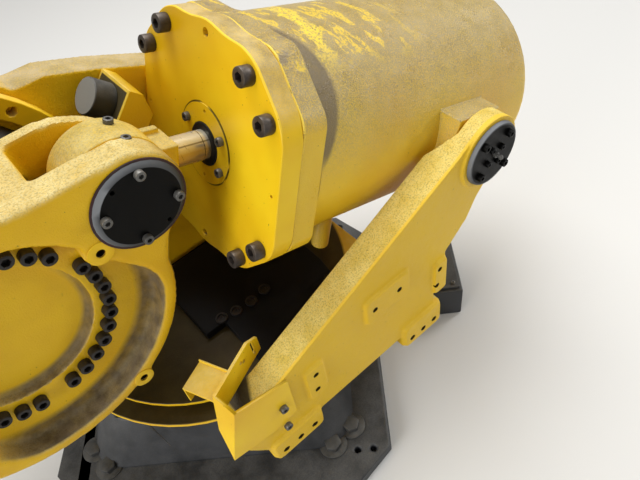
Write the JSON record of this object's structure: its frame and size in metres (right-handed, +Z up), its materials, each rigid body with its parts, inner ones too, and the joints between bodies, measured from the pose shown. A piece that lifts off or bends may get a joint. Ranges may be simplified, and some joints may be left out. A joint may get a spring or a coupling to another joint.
{
  "type": "robot arm lower unit with balancer",
  "caption": "Lower half of an industrial robot arm: foot casting, swinging turret, counterbalance cylinder with its rod, and lower arm up to the elbow.",
  "frame": {"origin": "on the floor, under the vertical swing axis, in the middle of the foot casting's underside", "axes": "+Z up, +X to the rear of the turret, +Y to the drive side of the shoulder"},
  "size_m": [1.8446, 1.0398, 1.7991],
  "materials": {
    "yellow_paint": "satin cast paint with dust",
    "black_paint": "matt black casting paint",
    "black_steel": "black oxide, satin",
    "chrome_rod": "hard chrome, ground",
    "bare_steel": "machined",
    "rubber": "dusty black rubber"
  },
  "bodies": {
    "foot": {"foot_plate": "black_paint", "foot_body": "black_paint", "connector_box": "black_paint", "connector_lid": "black_steel", "swing_outer_race": "bare_steel"},
    "turret": {"swing_inner_race": "bare_steel", "turret_table": "yellow_paint", "near_side_plate": "yellow_paint", "far_side_plate": "yellow_paint", "shoulder_ring": "yellow_paint", "shoulder_gearbox": "black_paint", "shoulder_motor_flange": "yellow_paint", "shoulder_motor": "black_paint", "stop_block": "yellow_paint", "rubber_stop": "rubber", "gear_cover": "black_paint", "swing_motor": "black_paint", "lower_arm": "yellow_paint", "elbow_seat_ring": "bare_steel", "elbow_cover": "black_steel", "rod_pin": "bare_steel", "pin_cap_near": "black_steel", "pin_cap_far": "black_steel", "balancer_front_plate": "yellow_paint", "balancer_housing": "yellow_paint", "balancer_cylinder": "yellow_paint", "gland_plate": "yellow_paint", "rod_seal": "rubber", "balancer_rod": "chrome_rod", "rod_end": "yellow_paint", "eye_bearing": "bare_steel", "trunnion_pin_near": "bare_steel", "trunnion_pin_far": "bare_steel", "trunnion_cap_near": "black_steel", "trunnion_cap_far": "black_steel", "cable_bracket": "yellow_paint", "cable_guide_box": "yellow_paint"}
  },
  "joints": [
    {"name": "turret_swing", "type": "hinge", "parent": "foot", "child": "turret", "pos_m": [0, 0, 0.29], "axis": [0, 0, 1], "range_deg": [-218, 142]}
  ]
}
